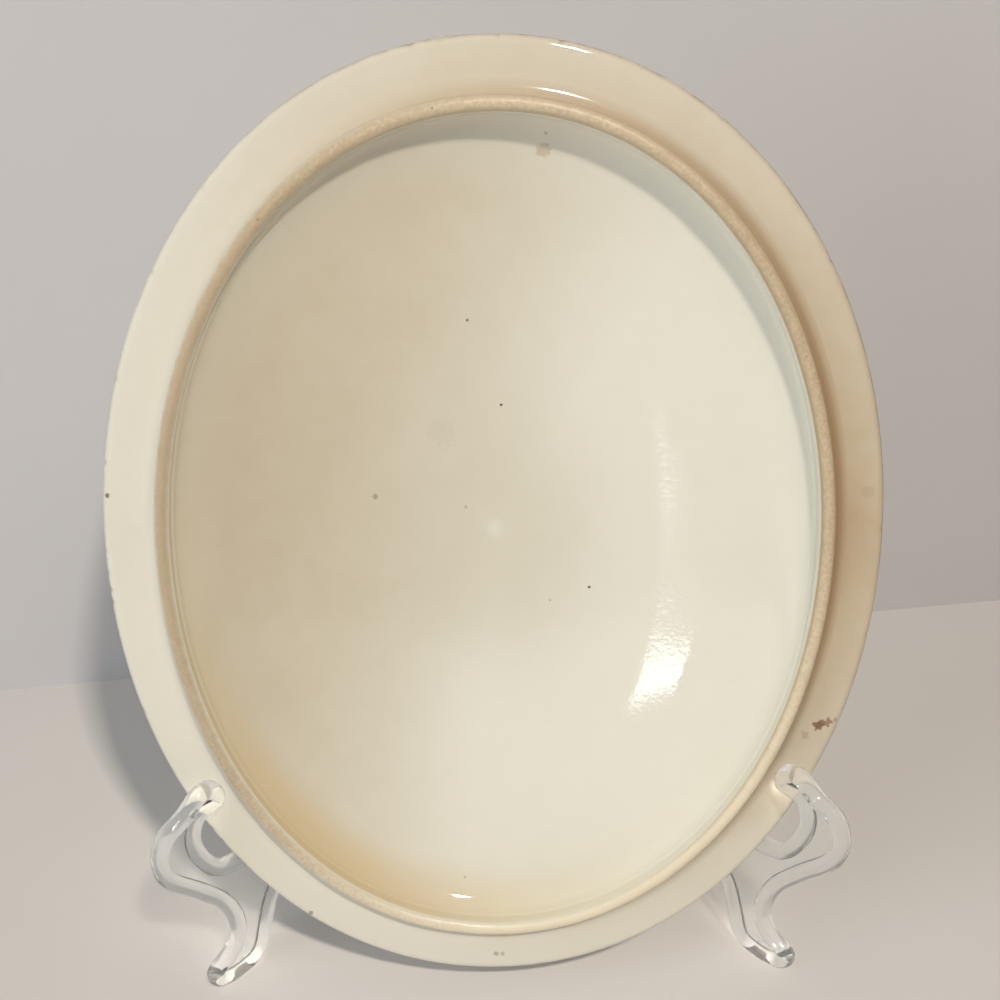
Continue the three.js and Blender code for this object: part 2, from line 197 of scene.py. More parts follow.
# One for a ray from the eye, straight or by way of a mirror or a clear piece.
def eyeRay(tree):
    path = tree.nodes.new("ShaderNodeLightPath").outputs
    direct = mathNode(tree, "MAXIMUM", path["Is Camera Ray"], path["Is Glossy Ray"])
    return mathNode(tree, "MAXIMUM", direct, path["Is Transmission Ray"])


def mixSurface(tree, factor, first, second):
    mixed = addNode(tree, "ShaderNodeMixShader", {0: factor, 1: first, 2: second})
    tree.links.new(mixed.outputs[0], tree.nodes["Material Output"].inputs["Surface"])


def newGroup(name, inputs, outputs):
    group = bpy.data.node_groups.new(name, "ShaderNodeTree")
    for label, kind, value in inputs:
        socket = group.interface.new_socket(label, in_out="INPUT", socket_type=kind)
        if value is not None:
            socket.default_value = value
    for label, kind in outputs:
        group.interface.new_socket(label, in_out="OUTPUT", socket_type=kind)
    return group, group.nodes.new("NodeGroupInput").outputs, group.nodes.new("NodeGroupOutput").inputs


def placeGroup(tree, group, inputs):
    return addNode(tree, "ShaderNodeGroup", inputs, node_tree=group).outputs


def newMaterial(name):
    material = bpy.data.materials.new(name)
    material.use_nodes = True
    tree = material.node_tree
    shader = tree.nodes["Principled BSDF"]
    return material, tree, shader


# Object coordinates turned back into the cover's own frame, in metres.
def coverPoint(tree):
    objectPoint = addNode(tree, "ShaderNodeTexCoord").outputs["Object"]
    turn = lean - math.pi / 2
    shift = Matrix.Rotation(turn, 3, "X") @ Vector((0, coverY / perMetre, coverZ / perMetre))
    return addNode(tree, "ShaderNodeMapping", {"Vector": objectPoint, "Location": tuple(-shift),
                   "Rotation": (turn, 0, 0)}).outputs["Vector"]


# uneven thickness of a glaze: wide pools, fine cloudiness, and a height for its gentle waves
mottle, given, wanted = newGroup("glazeMottle", [
    ("Vector", "NodeSocketVector", None), ("Wide Scale", "NodeSocketFloat", 18.0),
    ("Fine Scale", "NodeSocketFloat", 140.0), ("Fine Share", "NodeSocketFloat", 0.3),
], [("Mask", "NodeSocketFloat"), ("Height", "NodeSocketFloat")])
wide = noiseNode(mottle, given["Vector"], given["Wide Scale"], 2.0, roughness=0.45, distortion=0.3)
fine = noiseNode(mottle, given["Vector"], given["Fine Scale"], 3.0, roughness=0.55)
blended = addNode(mottle, "ShaderNodeMix", {0: given["Fine Share"], 2: wide, 3: fine})
mottle.links.new(blended.outputs[0], wanted["Mask"])
mottle.links.new(wide, wanted["Height"])

# sparse dark grains under a glaze: round cells, of which only a share hold one
grains, given, wanted = newGroup("ironGrains", [
    ("Vector", "NodeSocketVector", None), ("Scale", "NodeSocketFloat", 45.0),
    ("Size", "NodeSocketFloat", 0.025), ("Share", "NodeSocketFloat", 0.12),
], [("Mask", "NodeSocketFloat")])
cells = addNode(grains, "ShaderNodeTexVoronoi", {"Vector": given["Vector"], "Scale": given["Scale"]})
pick = addNode(grains, "ShaderNodeSeparateColor", {0: cells.outputs["Color"]})
chosen = mathNode(grains, "LESS_THAN", pick.outputs[0], given["Share"])
grainSize = mathNode(grains, "MULTIPLY", given["Size"], pick.outputs[1])
inside = mathNode(grains, "LESS_THAN", cells.outputs["Distance"], grainSize)
grains.links.new(mathNode(grains, "MULTIPLY", chosen, inside), wanted["Mask"])

# one mark at a place: a soft blot whose edge a noise makes ragged
blot, given, wanted = newGroup("blot", [
    ("Vector", "NodeSocketVector", None), ("Place", "NodeSocketVector", None),
    ("Radius", "NodeSocketFloat", 0.001), ("Ragged", "NodeSocketFloat", 0.4),
], [("Mask", "NodeSocketFloat")])
apart = addNode(blot, "ShaderNodeVectorMath", {0: given["Vector"], 1: given["Place"]}, operation="DISTANCE")
shares = mathNode(blot, "DIVIDE", apart.outputs["Value"], given["Radius"])
rough = mathNode(blot, "SUBTRACT", noiseNode(blot, given["Vector"], 900.0, 2.0), 0.5)
shaken = mathNode(blot, "MULTIPLY_ADD", rough, given["Ragged"], shares)
blot.links.new(rampNode(blot, shaken, 0.6, 1.1, 1.0, 0.0), wanted["Mask"])

# a span is the two values of a noise or the mottle that its shares, or nothing and one share, belong to
# tan, amber and honey colour stains and also painted shade and painted warm reflections inside; edge
# colours wear and also painted shade along the rim and in the collar's groove
glaze = dict(
    cream=(0.82, 0.815, 0.725), pooled=(0.79, 0.795, 0.70), poolSpan=(0.35, 0.7), poolShare=0.6,
    tan=(0.48, 0.345, 0.195), amber=(0.50, 0.395, 0.25), honey=(0.66, 0.50, 0.26),
    patchSpan=(0.2, 0.75), tanShares=(0.8, 1.1), amberShares=(0.85, 1.1),
    edge=(0.24, 0.145, 0.075), chipScale=260.0, chipSpan=(0.35, 0.65), chipShares=(0.2, 0.85),
    grain=(0.09, 0.065, 0.045), grainShare=0.4,
    roughness=0.025, dulling=0.03, dullSpan=(0.3, 0.7), ior=1.52, mirror=0.5,
    waves=0.00004, pits=0.000006, pitScale=700.0,
)
# marks: place in the cover's frame in mm, radius in mm, raggedness, strength, colour
marks = [
    ((95.7, -57.5, 2.2), 1.9, 1.6, 0.85, (0.17, 0.055, 0.025)),   # rust stain on the right flange
    ((98.3, -56.8, 2.2), 1.5, 2.4, 0.7, (0.24, 0.09, 0.04)),
    ((100.6, -56.1, 2.2), 0.9, 1.6, 0.5, (0.30, 0.19, 0.10)),
    ((91.6, -60.7, 2.2), 1.3, 1.8, 0.35, (0.30, 0.16, 0.08)),
    ((105.6, 15.3, 2.2), 2.2, 1.8, 0.2, (0.30, 0.27, 0.20)),      # grey smudge on it
    ((-2.1, -134.0, 2.2), 0.9, 1.2, 0.55, (0.22, 0.17, 0.10)),
    ((-0.2, -134.1, 2.2), 0.8, 1.2, 0.45, (0.26, 0.20, 0.12)),
    ((-59.4, -117.2, 2.2), 0.9, 1.4, 0.65, (0.16, 0.10, 0.06)),
    ((-108.7, 19.0, 2.2), 0.8, 1.2, 0.8, (0.13, 0.08, 0.05)),
    ((14.0, 110.4, -6.2), 2.3, 1.4, 0.45, (0.45, 0.33, 0.18)),    # brown blob inside, at the top
    ((14.5, 114.9, -3.9), 0.6, 0.8, 0.45, (0.25, 0.18, 0.11)),
    ((-15.2, 30.3, -18.1), 4.5, 2.5, 0.16, (0.50, 0.47, 0.38)),   # grey patch
    ((2.2, 38.1, -18.0), 0.5, 0.5, 0.9, (0.05, 0.04, 0.03)),
    ((-35.5, 11.1, -17.3), 0.9, 1.4, 0.45, (0.16, 0.12, 0.08)),
    ((-7.2, 63.4, -15.9), 0.5, 0.5, 0.7, (0.10, 0.07, 0.05)),
    ((28.3, -19.2, -17.8), 0.5, 0.5, 0.9, (0.06, 0.04, 0.03)),
    ((16.4, -23.4, -18.3), 0.45, 0.5, 0.4, (0.20, 0.15, 0.10)),
    ((-8.7, 6.9, -18.9), 0.6, 0.9, 0.4, (0.20, 0.15, 0.10)),
    ((-11.5, -111.4, -6.0), 0.45, 0.6, 0.4, (0.14, 0.10, 0.06)),
]


# Blots laid over a colour, one after another.
def addMarks(tree, point, colour, blots):
    for place, radius, ragged, strength, shade in blots:
        mask = placeGroup(tree, blot, {"Vector": point, "Place": tuple(v / perMetre for v in place),
                          "Radius": radius / perMetre, "Ragged": ragged})["Mask"]
        colour = mixColour(tree, mathNode(tree, "MULTIPLY", mask, strength), colour, shade)
    return colour


# Cream broken by pooled glaze and grains; where asked, with the stains, edge wear and marks, and with
# painted shade at the collar's root, in the inside's left half and along the rim's right and lower edge,
# and painted warm reflections inside.
def glazeColour(tree, point, stained):
    cloud = placeGroup(tree, mottle, {"Vector": point})
    pools = rampNode(tree, cloud["Mask"], *glaze["poolSpan"], 0.0, glaze["poolShare"])
    colour = mixColour(tree, pools, glaze["cream"], glaze["pooled"])
    if stained:
        for name, shade in (("stainAndRootShade", "tan"), ("seepShadeAndReflection", "amber")):
            patches = rampNode(tree, cloud["Mask"], *glaze["patchSpan"], *glaze[shade + "Shares"])
            patchy = mathNode(tree, "MULTIPLY", meshValue(tree, name), patches)
            colour = mixColour(tree, patchy, colour, glaze[shade])
        colour = mixColour(tree, meshValue(tree, "warmReflectionBand"), colour, glaze["honey"])
        chips = noiseNode(tree, point, glaze["chipScale"], 4.0)
        chipped = rampNode(tree, chips, *glaze["chipSpan"], *glaze["chipShares"])
        wornAndShaded = mathNode(tree, "MULTIPLY", meshValue(tree, "wearAndRimShade"), chipped)
        colour = mixColour(tree, wornAndShaded, colour, glaze["edge"])
        colour = addMarks(tree, point, colour, marks)
    dark = placeGroup(tree, grains, {"Vector": point})["Mask"]
    colour = mixColour(tree, mathNode(tree, "MULTIPLY", dark, glaze["grainShare"]), colour, glaze["grain"])
    return colour, cloud


# Cream glaze. It mirrors nothing where a diffuse ray meets it, so it throws no bright spots around it.
def glazeMaterial(name, stained):
    material, tree, shader = newMaterial(name)
    point = coverPoint(tree)
    colour, cloud = glazeColour(tree, point, stained)
    waves = bumpNode(tree, cloud["Height"], glaze["waves"])
    pits = noiseNode(tree, point, glaze["pitScale"], 2.0)
    dullest = glaze["roughness"] + glaze["dulling"]
    diffuse = tree.nodes.new("ShaderNodeLightPath").outputs["Is Diffuse Ray"]
    mirrored = mathNode(tree, "SUBTRACT", 1.0, diffuse)
    fillInputs(tree, shader, {
        "Base Color": colour,
        "Roughness": rampNode(tree, cloud["Mask"], *glaze["dullSpan"], glaze["roughness"], dullest),
        "Normal": bumpNode(tree, pits, glaze["pits"], Normal=waves),
        "Specular IOR Level": mathNode(tree, "MULTIPLY", mirrored, glaze["mirror"]),
        "IOR": glaze["ior"],
    })
    return material


clay = dict(
    buff=(0.46, 0.35, 0.22), pale=(0.84, 0.74, 0.56), ior=1.5,
    # how pale the bare crest is by turn: darkest at the left, palest below and at the lower right
    crestPaleness=(0.4, 0.3, 0.45, 0.1, 0.03, 0.35, 1.0, 1.0, 0.4),   # how pale, at each eighth of a turn
    gritScale=900.0, gritSpan=(0.3, 0.7), grit=0.1, relief=0.00015,
    wanderScale=320.0, wander=0.5, bareSpan=(0.2, 1.0), bareShare=0.9,
    spotScale=260.0, spotSize=0.14, spotShare=0.14, spotStrength=0.7,
    soot=(0.10, 0.07, 0.045), sootRagged=1.2, sootStrength=0.8,
    glazed=0.06, roughness=0.42, soiling=0.6,
)
# specks of soot on the crest: place in the cover's frame and radius, in mm
specks = [
    ((-29.6, -119.8, 6.3), 1.1), ((-27.9, -120.2, 6.3), 0.9), ((-92.6, 19.1, 5.5), 0.8),
    ((-94.3, 4.8, 5.5), 1.0), ((-93.4, 13.1, 5.7), 0.6),
]


# Glazed flanks and a wiped, bare crest between them; the glaze line wanders with a noise.
def collarMaterial():
    material, tree, shader = newMaterial("collarGlazeAndClay")
    point = coverPoint(tree)
    colour = glazeColour(tree, point, False)[0]
    # the stain, seep and band values also carry painted shade at the root and the left, and painted warm
    # reflections at the lower left
    for name, shade in (("stainAndRootShade", "tan"), ("seepShadeAndReflection", "amber"), ("warmReflectionBand", "honey")):
        colour = mixColour(tree, meshValue(tree, name), colour, glaze[shade])
    # the groove beside the crest darkens with dirt and painted shade, most at the right; the same value
    # dulls it
    soiledAndShaded = meshValue(tree, "soilAndShade")
    colour = mixColour(tree, soiledAndShaded, colour, glaze["edge"])
    wander = noiseNode(tree, point, clay["wanderScale"], 4.0, roughness=0.6)
    shift = mathNode(tree, "MULTIPLY_ADD", wander, clay["wander"], -clay["wander"] / 2)
    across = mathNode(tree, "ADD", meshValue(tree, "crest"), shift)
    bare = rampNode(tree, across, *clay["bareSpan"], 0.0, clay["bareShare"])
    grit = noiseNode(tree, point, clay["gritScale"], 3.0)
    uneven = rampNode(tree, grit, *clay["gritSpan"], -clay["grit"], clay["grit"])
    tone = mathNode(tree, "ADD", meshValue(tree, "crestPaleness"), uneven)
    body = mixColour(tree, rampNode(tree, tone, 0.0, 1.0), clay["buff"], clay["pale"])
    spots = placeGroup(tree, grains, {"Vector": point, "Scale": clay["spotScale"], "Size": clay["spotSize"],
                       "Share": clay["spotShare"]})["Mask"]
    body = mixColour(tree, mathNode(tree, "MULTIPLY", spots, clay["spotStrength"]), body, clay["soot"])
    colour = mixColour(tree, bare, colour, body)
    sooty = clay["sootRagged"], clay["sootStrength"], clay["soot"]
    colour = addMarks(tree, point, colour, [(*speck, *sooty) for speck in specks])
    relief = mathNode(tree, "MULTIPLY", grit, bare)
    dull = rampNode(tree, bare, 0.0, 1.0, clay["glazed"], clay["roughness"])
    fillInputs(tree, shader, {
        "Base Color": colour,
        "Roughness": mathNode(tree, "MULTIPLY_ADD", soiledAndShaded, clay["soiling"], dull),
        "Normal": bumpNode(tree, relief, clay["relief"]),
        "IOR": clay["ior"],
    })
    return material


plastic = dict(
    tint=(0.97, 0.985, 0.985), ior=1.49, clarity=0.94, passed=0.8,
    roughness=0.02, haze=0.08, hazeScale=300.0, hazeSpan=(0.45, 0.75), flow=0.00012, flowScale=60.0,
)


# Clear moulded plastic: smooth, with faint flow lines and a little handling haze. Its shadow is light.
def plasticMaterial():
    material, tree, shader = newMaterial("clearPlastic")
    point = addNode(tree, "ShaderNodeTexCoord").outputs["Object"]
    flow = noiseNode(tree, point, plastic["flowScale"], 2.0, distortion=1.5)
    haze = noiseNode(tree, point, plastic["hazeScale"], 4.0)
    haziest = plastic["roughness"] + plastic["haze"]
    fillInputs(tree, shader, {
        "Base Color": (*plastic["tint"], 1.0),
        "Roughness": rampNode(tree, haze, *plastic["hazeSpan"], plastic["roughness"], haziest),
        "Normal": bumpNode(tree, flow, plastic["flow"]),
        "IOR": plastic["ior"],
        "Transmission Weight": plastic["clarity"],
    })
    shadowRay = tree.nodes.new("ShaderNodeLightPath").outputs["Is Shadow Ray"]
    passed = mathNode(tree, "MULTIPLY", shadowRay, plastic["passed"])
    mixSurface(tree, passed, shader.outputs[0], tree.nodes.new("ShaderNodeBsdfTransparent").outputs[0])
    return material


stainedGlaze = glazeMaterial("stainedCreamGlaze", True)
plainGlaze = glazeMaterial("creamGlaze", False)
collarFinish = collarMaterial()
clearPlastic = plasticMaterial()
print("materials made")


# Each row is an oval of half width, half length and height. A point of it lies at the turn's cosine and
# sine, each kept with its sign and raised to two over the fullness.
def ovalGrid(rows):
    rows = np.asarray(rows, float)
    turn = np.linspace(0, 2 * np.pi, cover["around"], endpoint=False)
    power = 2 / cover["fullness"]
    c = np.sign(np.cos(turn)) * np.abs(np.cos(turn)) ** power
    s = np.sign(np.sin(turn)) * np.abs(np.sin(turn)) ** power
    return np.stack([rows[:, :1] * c, rows[:, 1:2] * s, rows[:, 2:] + 0 * c], axis=-1), turn


def insetRows(insets, heights):
    insets, heights = np.broadcast_arrays(np.asarray(insets, float), np.asarray(heights, float))
    return np.stack([halfWidth - insets, halfLength - insets, heights], axis=-1)


# The dome from its pole to its foot: with an angle from nothing to a quarter turn, the share of the foot
# oval is the sine to the power two over the dome's fullness, and the depth falls with the cosine.
def domeRows(inset, foot, drop):
    angle = np.linspace(0, np.pi / 2, cover["domeRows"] + 1)[1:]
    share = np.sin(angle) ** (2 / cover["domeFullness"])
    heights = foot - drop * np.cos(angle)
    return np.stack([share * (halfWidth - inset), share * (halfLength - inset), heights], axis=-1)


# Waves round the outline, each by its number, phase and height, on top of a base.
def waveSum(turn, parts, base=0):
    return sum((height * np.sin(count * turn + phase) for count, phase, height in parts), base)


# Slight unevenness of a moulded oval: it draws in by a slow wave round the outline, and the flange
# rises and falls by another, both growing with the square of the distance from the middle.
def handwork(points):
    x, along = points[..., 0] / halfWidth, points[..., 1] / halfLength
    turn = np.arctan2(along, x)
    reach = np.clip(x ** 2 + along ** 2, 0, 1)
    drawn = 1 - reach * cover["warp"] / halfWidth * waveSum(turn, cover["inwardWaves"], cover["drawIn"])
    lift = reach * cover["warp"] * waveSum(turn, cover["liftWaves"])
    return np.stack([points[..., 0] * drawn, points[..., 1] * drawn, points[..., 2] + lift], axis=-1)


# From nothing at the low value to one at the high one.
def softStep(value, low, high):
    t = np.clip((value - low) / (high - low), 0, 1)
    return t * t * (3 - 2 * t)


# A turn brought to within half a circle of nothing, either way.
def wrapped(turn):
    return (turn + np.pi) % (2 * np.pi) - np.pi


crestRadius = cover["crestWidth"] / 2
innerInset = cover["crestInset"] + crestRadius
outerInset = cover["crestInset"] - crestRadius
rootInset = outerInset - cover["rootWidth"]
backInset = innerInset - cover["wall"]
lip = cover["lipShare"] * cover["wall"]
footDepth = halfFlange + cover["footShare"] * cover["wall"]   # where the outside of the dome starts
outerDepth = cover["domeDepth"] + cover["wall"]

# strengths of the stains and where they lie; turns are in radians, from the right by way of the top.
# The tan at the collar's root and the amber at the left are partly painted shade, the amber in the middle
# and below and the honey band are painted reflections, and the wear along the rim's right and lower edge
# and the soil beside the crest are partly painted shade.
stains = dict(
    tanAll=0.17, tanRight=0.58, rightTurn=0.09, rightSpread=0.70, tanTop=0.25, topTurn=1.6, topSpread=0.54,
    tanRoot=0.08, rootTurn=0.6, fadeSpan=(12.0, 15.0), rootSpan=(2.0, 10.0),
    leftStart=0.28, leftTurn=-0.4, belowStart=0.4, belowTurn=1.05, belowMost=1.2,
    amberAll=0.06, amberMiddle=0.24, amberOuter=0.06, amberLeft=0.50, wallLoss=0.55, amberBelow=0.1,
    honey=0.66, honeyTurn=4.1, honeySpread=0.75, honeySpan=(0.88, 0.99),
    flankTan=0.02, flankRoot=0.22, wallAmber=0.12, wallLeft=0.22, wallBelow=0.1,
    soilAndShade=0.06, soilShadeRight=0.46, soilShadeTurn=0.05, soilShadeInset=1.0, soilShadeSpread=1.6,
    wearAll=0.35, rimShadeRight=0.65, rimShadeTurn=-0.5, wearNicks=0.5, edgeSpan=(0.2, 2.0), brinkSpan=(0.1, 0.9),
    middleSpan=(0.1, 0.5), leftSpan=(0.0, 0.6), outerSpan=(0.6, 0.9), wallSpan=(0.8, 1.0),
)


# Tan of the flange by turn, most at the right and some at the top, and that of the collar's root, which is
# partly stain and partly painted shade in the hollow by the collar.
def flangeStainAndRootShade(turn):
    aroundRight = np.exp(-wrapped(turn - stains["rightTurn"]) ** 2 / stains["rightSpread"])
    aroundTop = np.exp(-(turn - stains["topTurn"]) ** 2 / stains["topSpread"])
    flat = stains["tanAll"] + stains["tanRight"] * aroundRight + stains["tanTop"] * aroundTop
    return flat, 0.5 + 0.5 * np.cos(turn - stains["rootTurn"])


# Tints of the inside by turn: amber in its left half, partly seep stain and partly painted shade; amber
# below by the wall and a honey band along the wall at the lower left, both painted warm reflections.
def seepShadeAndReflectionByTurn(turn):
    leftward = np.clip(stains["leftStart"] - np.cos(turn - stains["leftTurn"]), 0, 1)
    below = np.clip(stains["belowStart"] - np.cos(turn - stains["belowTurn"]), 0, stains["belowMost"])
    warmReflectionBand = stains["honey"] * np.exp(-((turn - stains["honeyTurn"]) / stains["honeySpread"]) ** 2)
    return leftward, below, warmReflectionBand


# Nicks by turn: short bites out of the edge, deepest in their middle.
def nickBites(turn):
    rng = np.random.default_rng(cover["nickSeed"])
    places = rng.uniform(0, 2 * np.pi, cover["nicks"])
    widths = rng.uniform(*cover["nickWidths"], cover["nicks"])
    depths = rng.uniform(*cover["nickShares"], cover["nicks"]) ** 2
    bites = np.zeros_like(turn)
    for place, width, depth in zip(places, widths, depths):
        away = np.abs(wrapped(turn - place))
        bites = np.maximum(bites, depth * (1 - softStep(away, 0.3 * width, width)))
    return bites


# A lathe-like skin: inside dome, wall, flat flange, rounded edge, hollow under the flange, outside dome.
def makeShell():
    roundEdge = np.radians(np.linspace(90, -90, 13))
    hollow = np.linspace(0, 1, 9)[1:-1]
    hollowInset = cover["undersideInsets"][-1]
    rows = np.concatenate([
        domeRows(innerInset + 0.6 * lip, halfFlange - lip, cover["domeDepth"] + halfFlange - lip),
        insetRows([innerInset + 0.05, innerInset - 0.05], [halfFlange - 0.6 * lip, halfFlange - 0.1 * lip]),
        insetRows(cover["faceInsets"], halfFlange),
        insetRows(halfFlange - halfFlange * np.cos(roundEdge), halfFlange * np.sin(roundEdge)),
        insetRows(cover["undersideInsets"], -halfFlange),
        insetRows(hollowInset + (backInset - hollowInset) * (1 - (1 - hollow) ** 1.6),
                  -halfFlange - (footDepth - halfFlange) * hollow ** 2),
        domeRows(backInset, -footDepth, outerDepth - footDepth)[::-1],
    ])
    grid, turn = ovalGrid(rows)
    inset = (halfWidth - rows[:, 0])[:, None]
    bites = nickBites(turn)
    edge = 1 - softStep(inset, *stains["edgeSpan"])
    bite = edge * bites * cover["nickDepth"]
    grid[..., 0] *= 1 - bite / halfWidth
    grid[..., 1] *= 1 - bite / halfLength
    grid = handwork(grid)

    # tan on the flange's front, partly painted shade towards the collar's root; amber and honey inside,
    # partly painted shade in the left half and painted warm reflections in the middle and at the lower
    # left; wear along the edge, partly painted shade along its right and lower part
    front = (rows[:, 2] > -0.5)[:, None]
    inside = (np.arange(len(rows)) < cover["domeRows"] + 2)[:, None]
    flat, deep = flangeStainAndRootShade(turn)
    tan = flat + stains["tanRoot"] * deep * softStep(inset, *stains["rootSpan"])
    stainAndRootShade = np.where(inside, 0, tan * (1 - softStep(inset, *stains["fadeSpan"])) * front)
    share = rows[:, 0, None] / (halfWidth - innerInset)
    leftward, below, warmReflectionByTurn = seepShadeAndReflectionByTurn(turn)
    nearWall = softStep(share, *stains["wallSpan"])
    middle, outer = 1 - softStep(share, *stains["middleSpan"]), softStep(share, *stains["outerSpan"])
    left = softStep(share, *stains["leftSpan"]) * leftward * (1 - stains["wallLoss"] * nearWall)
    seepShadeAndReflection = inside * (stains["amberAll"] + stains["amberMiddle"] * middle + stains["amberOuter"] * outer
                     + stains["amberLeft"] * left + stains["amberBelow"] * nearWall * below)
    warmReflectionBand = inside * softStep(share, *stains["honeySpan"]) * warmReflectionByTurn
    # the rim's dark line: wear all round and at the nicks, and painted shade along its right and lower part
    brink = 1 - softStep(inset, *stains["brinkSpan"])
    toRight = 0.5 + 0.5 * np.cos(turn - stains["rimShadeTurn"])
    wearAndRimShade = brink * (stains["wearAll"] + stains["rimShadeRight"] * toRight) + stains["wearNicks"] * bites * edge

    poles = np.array([[0, 0, -cover["domeDepth"]], [0, 0, -outerDepth]])
    points, faces = closedGrid(grid, poles, flip=True)
    shell = newObject("shell", coverToRow(points), faces, sharp=50)
    for name, values, atPoles in (("stainAndRootShade", stainAndRootShade, (0, 0)), ("seepShadeAndReflection", seepShadeAndReflection, (0.1, 0)),
                                  ("warmReflectionBand", warmReflectionBand, (0, 0)), ("wearAndRimShade", wearAndRimShade, (0, 0))):
        addAttribute(shell, name, np.append(np.clip(values, 0, 1), atPoles))
    return shell


# A closed strip: inner wall, half-round crest, and a hollow root that runs out on the flange.
def makeCollar():
    top = halfFlange + cover["collarHeight"] - crestRadius
    crown = np.radians(np.linspace(0, 180, 15))
    hollow = np.radians(np.linspace(0, 90, 12))[1:]
    skirtInset = rootInset - cover["skirt"]
    insets = np.concatenate([
        np.full(5, innerInset), cover["crestInset"] + crestRadius * np.cos(crown),
        rootInset + cover["rootWidth"] * np.cos(hollow), [skirtInset, skirtInset],
    ])
    heights = np.concatenate([
        np.linspace(halfFlange - 0.6, top, 6)[:-1], top + crestRadius * np.sin(crown),
        top - (top - halfFlange) * np.sin(hollow), [halfFlange - 0.03, halfFlange - 0.5],
    ])
    grid, turn = ovalGrid(insetRows(insets, heights))
    crest = np.clip((heights - top) / crestRadius, 0, 1)[:, None]
    grid[..., 2] += crest * (waveSum(turn, cover["crestWaves"]) - 0.2)
    grid = handwork(grid)

    # tan from the root up the outer flank, partly painted shade in the hollow; amber and honey on the inner
    # wall, partly painted shade at the left and painted warm reflection at the lower left; soil beside the
    # crest, dirt darkened with painted shade in the groove, most at the right
    within = (insets > innerInset - 0.01)[:, None]
    flat, deep = flangeStainAndRootShade(turn)
    rise = softStep(insets, skirtInset, outerInset - 0.5)[:, None]
    tan = flat + stains["tanRoot"] * deep + rise * (stains["flankTan"] + stains["flankRoot"] * deep)
    stainAndRootShade = np.clip(tan, 0, 1) * ~within
    leftward, below, warmReflectionByTurn = seepShadeAndReflectionByTurn(turn)
    seepShadeAndReflection = within * (stains["wallAmber"] + stains["wallLeft"] * leftward + stains["wallBelow"] * below)
    # dark line in the groove beside the crest: dirt and painted shade, strongest at the right
    away = (insets - outerInset + stains["soilShadeInset"]) / stains["soilShadeSpread"]
    toRight = np.clip(np.cos(turn - stains["soilShadeTurn"]), 0, 1)
    soilAndShade = np.exp(-away ** 2)[:, None] * (heights < top)[:, None]
    soilAndShade = soilAndShade * (stains["soilAndShade"] + stains["soilShadeRight"] * toRight ** 2)
    crestPaleness = np.interp(turn, np.linspace(0, 2 * np.pi, len(clay["crestPaleness"])), clay["crestPaleness"])

    faces = gridFaces(len(insets), len(turn), loopRows=True, flip=True)
    collar = newObject("collar", coverToRow(grid), faces, sharp=50)
    for name, values in (("stainAndRootShade", stainAndRootShade), ("seepShadeAndReflection", seepShadeAndReflection), ("warmReflectionBand", within * warmReflectionByTurn), ("crest", crest),
                         ("soilAndShade", soilAndShade), ("crestPaleness", crestPaleness)):
        addAttribute(collar, name, np.broadcast_to(values, stainAndRootShade.shape))
    return collar


# Depth of the dome's outside under a point: that of its foot, and past it an oval's height, which falls
# to nothing as the point's share of the way out grows to one.
def outsideDepth(x, along):
    power = cover["fullness"]
    share = (np.abs(x / (halfWidth - backInset)) ** power
             + np.abs(along / (halfLength - backInset)) ** power) ** (1 / power)
    return footDepth + (outerDepth - footDepth) * np.sqrt(1 - share ** cover["domeFullness"])


handle = dict(
    span=62.0, rise=25.0, width=13.0, thickness=6.8, sides=72, reeds=3, reedDepth=0.35, flare=0.35,
    arch=((1.03, -0.15), (1, 0.15), (0.84, 0.55), (0.42, 0.94), (0, 0.992)),   # from a foot to the middle
    padLength=27.0, padWidth=19.4, padHeight=2.8, padSides=120, padRows=22,
    trim=(0.97, 0.93), sink=0.4, root=2.5, lobes=5, lobeDepth=0.1, furrow=0.35, furrowStart=0.6,
)


# Catmull-Rom spline: each span is the cubic whose slopes at its ends are half the neighbours' difference.
def splineThrough(points, steps):
    points = np.asarray(points, float)
    padded = np.concatenate([points[:1], points, points[-1:]])
    a, b, c, d = padded[:-3, None], padded[1:-2, None], padded[2:-1, None], padded[3:, None]
    t = np.linspace(0, 1, steps, endpoint=False)[None, :, None]
    square, cube = 2 * a - 5 * b + 4 * c - d, 3 * b - a - 3 * c + d
    curve = 0.5 * (2 * b + (c - a) * t + square * t ** 2 + cube * t ** 3)
    return np.concatenate([curve.reshape(-1, points.shape[1]), points[-1:]])


# A reeded strap: an oval section with three soft ridges on its outer side, carried along an arch.
def makeHandle():
    half = handle["span"] / 2
    foot = float(outsideDepth(0.0, half))
    rise = outerDepth + handle["rise"] - foot
    arch = [*handle["arch"], *((-a, u) for a, u in handle["arch"][-2::-1])]
    path = splineThrough([[a * half, -foot - u * rise] for a, u in arch], 12)
    tangent = np.gradient(path, axis=0)
    tangent /= np.linalg.norm(tangent, axis=1, keepdims=True)
    normal = np.stack([tangent[:, 1], -tangent[:, 0]], axis=-1)
    turn = np.linspace(0, 2 * np.pi, handle["sides"], endpoint=False)
    side = handle["width"] / 2 * np.cos(turn)
    ridges = np.cos(side / handle["width"] * 2 * np.pi * handle["reeds"])
    out = (handle["thickness"] / 2 - handle["reedDepth"]) * np.sin(turn)
    out = out + handle["reedDepth"] * ridges * np.clip(np.sin(turn), 0, 1)
    flare = 1 + handle["flare"] * np.abs(np.linspace(-1, 1, len(path)))[:, None] ** 6
    along, height = path[:, :1] + normal[:, :1] * out, path[:, 1:] + normal[:, 1:] * out
    grid = np.stack([side * flare, along, height], axis=-1)
    points, faces = closedGrid(grid, np.stack([grid[0].mean(0), grid[-1].mean(0)]))
    return newObject("handleStrap", coverToRow(points), faces, sharp=60)


